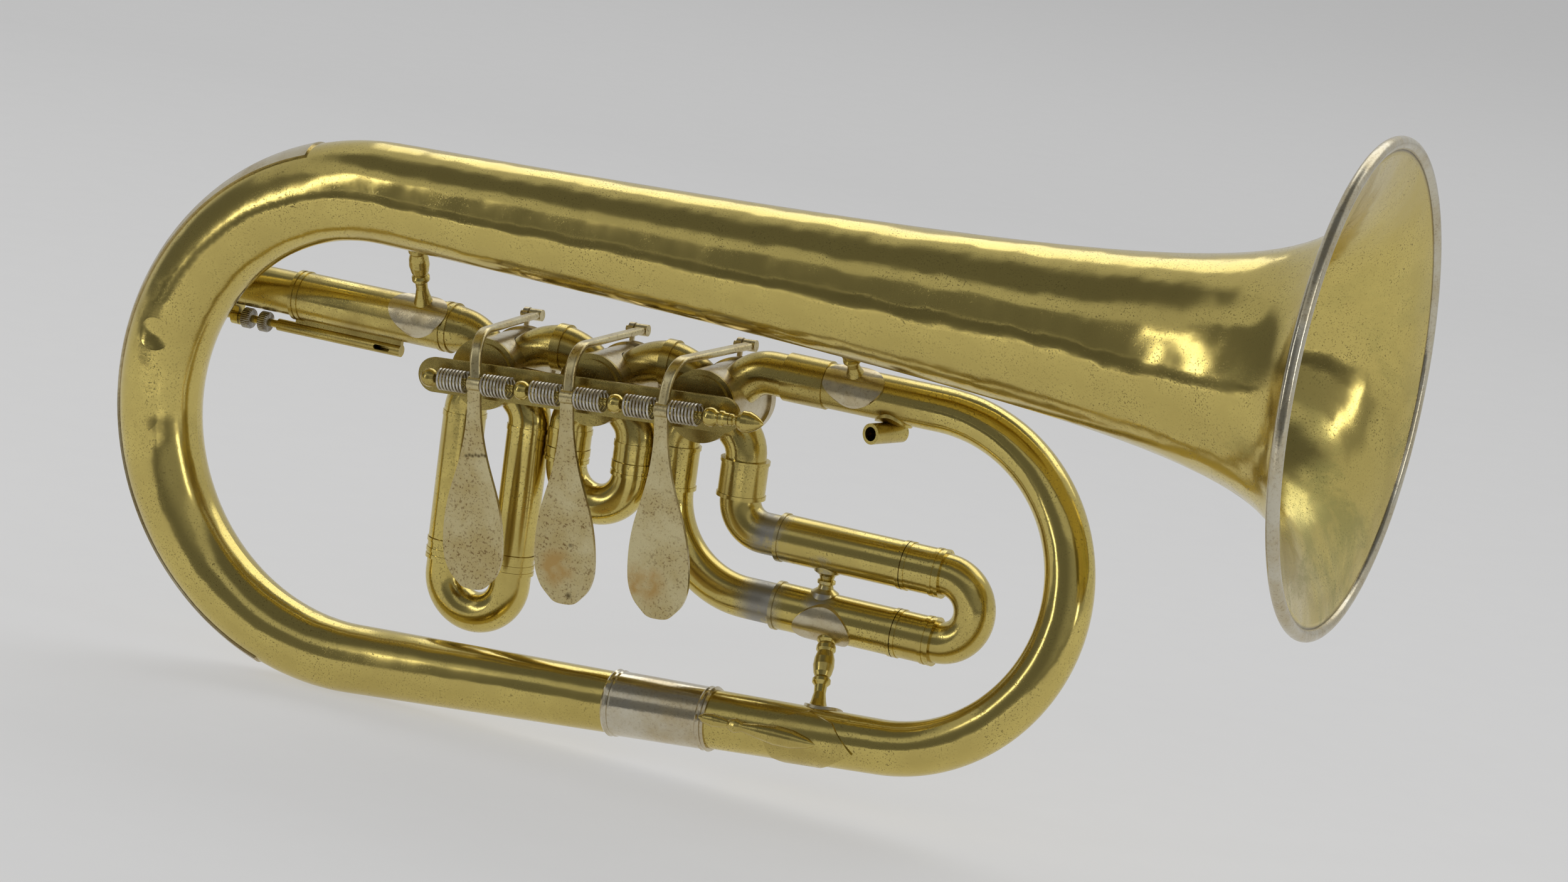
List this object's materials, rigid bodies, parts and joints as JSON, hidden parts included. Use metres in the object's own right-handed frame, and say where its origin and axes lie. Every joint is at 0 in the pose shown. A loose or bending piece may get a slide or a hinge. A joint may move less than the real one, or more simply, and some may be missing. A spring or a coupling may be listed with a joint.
{
  "type": "flugelhorn",
  "caption": "Rotary valve flugelhorn: wide conical bell, round bow, leadpipe slide, rotary valves with sprung teardrop levers and pull-out valve slides.",
  "frame": {"origin": "centre of the bell's mouth, in the plane of the rim's edge", "axes": "+X out of the bell along its axis, +Z from the lower tube up to the bell, -Y towards the side with the finger levers"},
  "size_m": [0.413, 0.15, 0.2385],
  "materials": {
    "brass": "aged polished brass with a thin tarnish",
    "nickel_silver": "worn nickel silver, warm grey with fine speckle",
    "steel": "bare spring steel",
    "cork": "cork bumper"
  },
  "bodies": {
    "horn": {"bell": "brass", "bow_guard": "brass", "brace_leadpipe": "brass", "brace_lower": "brass", "brace_outlet": "brass", "carrier_plate": "brass", "finger_hook": "brass", "inlet_elbow": "brass", "knuckle_1": "brass", "knuckle_2": "brass", "leadpipe_sleeve": "brass", "left_bow": "brass", "lever_posts": "brass", "lever_rod": "brass", "lower_tube_left": "brass", "lower_tube_right": "brass", "lyre_socket": "brass", "main_ferrule": "nickel_silver", "outlet_elbow": "brass", "outlet_tube": "brass", "right_bow": "brass", "rim_band": "nickel_silver", "slide_1_tubes": "brass", "slide_2_tubes": "brass", "slide_3_stay": "brass", "slide_3_tubes": "brass", "springs_1": "steel", "springs_2": "steel", "springs_3": "steel", "stop_corks_1": "cork", "stop_corks_2": "cork", "stop_corks_3": "cork", "valve_cap_1": "nickel_silver", "valve_cap_2": "nickel_silver", "valve_cap_3": "nickel_silver", "valve_casing_1": "nickel_silver", "valve_casing_2": "nickel_silver", "valve_casing_3": "nickel_silver", "valve_disc_1": "brass", "valve_disc_2": "brass", "valve_disc_3": "brass"},
    "lever_1": {"lever_1": "nickel_silver"},
    "link_1": {"link_1": "nickel_silver"},
    "rotor_1": {"rotor_1": "nickel_silver"},
    "slide_1": {"slide_1_pull": "brass"},
    "lever_2": {"lever_2": "nickel_silver"},
    "link_2": {"link_2": "nickel_silver"},
    "rotor_2": {"rotor_2": "nickel_silver"},
    "slide_2": {"slide_2_pull": "brass"},
    "lever_3": {"lever_3": "nickel_silver"},
    "link_3": {"link_3": "nickel_silver"},
    "rotor_3": {"rotor_3": "nickel_silver"},
    "slide_3": {"slide_3_pull": "brass"},
    "leadpipe_slide": {"mouthpiece_slide": "brass", "slide_bracket": "brass", "guide_rod": "brass"},
    "thumb_screw_1": {"thumb_screw_1": "steel"},
    "thumb_screw_2": {"thumb_screw_2": "steel"}
  },
  "joints": [
    {"name": "rotor_1_turn", "type": "hinge", "parent": "horn", "child": "rotor_1", "pos_m": [-0.28773, 0.0235, -0.05273], "axis": [0, 1, 0], "range_deg": [0, 90]},
    {"name": "rotor_2_turn", "type": "hinge", "parent": "horn", "child": "rotor_2", "pos_m": [-0.2496, 0.0235, -0.0504], "axis": [0, 1, 0], "range_deg": [0, 90]},
    {"name": "rotor_3_turn", "type": "hinge", "parent": "horn", "child": "rotor_3", "pos_m": [-0.21147, 0.0235, -0.04807], "axis": [0, 1, 0], "range_deg": [0, 90]},
    {"name": "lever_1_press", "type": "hinge", "parent": "horn", "child": "lever_1", "pos_m": [-0.28182, -0.007, -0.05282], "axis": [0.9976, 0, 0.0698], "range_deg": [0, 8.7], "stiffness_Nm_per_rad": 0.3, "springref_deg": -14.32},
    {"name": "link_1_swing", "type": "hinge", "parent": "lever_1", "child": "link_1", "pos_m": [-0.29232, 0.0457, -0.03777], "axis": [0.9976, 0, 0.0698], "range_deg": [-2, 3]},
    {"name": "lever_2_press", "type": "hinge", "parent": "horn", "child": "lever_2", "pos_m": [-0.2493, -0.007, -0.05055], "axis": [0.9976, 0, 0.0698], "range_deg": [0, 8.7], "stiffness_Nm_per_rad": 0.3, "springref_deg": -14.32},
    {"name": "link_2_swing", "type": "hinge", "parent": "lever_2", "child": "link_2", "pos_m": [-0.25419, 0.0457, -0.03544], "axis": [0.9976, 0, 0.0698], "range_deg": [-2, 3]},
    {"name": "lever_3_press", "type": "hinge", "parent": "horn", "child": "lever_3", "pos_m": [-0.21678, -0.007, -0.04828], "axis": [0.9976, 0, 0.0698], "range_deg": [0, 8.7], "stiffness_Nm_per_rad": 0.3, "springref_deg": -14.32},
    {"name": "link_3_swing", "type": "hinge", "parent": "lever_3", "child": "link_3", "pos_m": [-0.21606, 0.0457, -0.03311], "axis": [0.9976, 0, 0.0698], "range_deg": [-2, 3]},
    {"name": "slide_1_pull_out", "type": "slide", "parent": "horn", "child": "slide_1", "axis": [0, 0, -1], "range_m": [0, 0.03]},
    {"name": "slide_2_pull_out", "type": "slide", "parent": "horn", "child": "slide_2", "axis": [0, 0, -1], "range_m": [0, 0.004]},
    {"name": "slide_3_pull_out", "type": "slide", "parent": "horn", "child": "slide_3", "axis": [1, 0, 0], "range_m": [0, 0.008]},
    {"name": "leadpipe_pull_out", "type": "slide", "parent": "horn", "child": "leadpipe_slide", "axis": [-1, 0, 0], "range_m": [0, 0.024]},
    {"name": "thumb_screw_1_turn", "type": "hinge", "parent": "leadpipe_slide", "child": "thumb_screw_1", "pos_m": [-0.3827, 0.0235, -0.0542], "axis": [1, 0, 0], "continuous": true},
    {"name": "thumb_screw_2_turn", "type": "hinge", "parent": "leadpipe_slide", "child": "thumb_screw_2", "pos_m": [-0.3763, 0.0235, -0.0542], "axis": [1, 0, 0], "continuous": true}
  ],
  "couplings": [
    {"joint": "lever_1_press", "follows": "rotor_1_turn", "ratio": 0.096222},
    {"joint": "lever_2_press", "follows": "rotor_2_turn", "ratio": 0.096222},
    {"joint": "lever_3_press", "follows": "rotor_3_turn", "ratio": 0.096222}
  ]
}
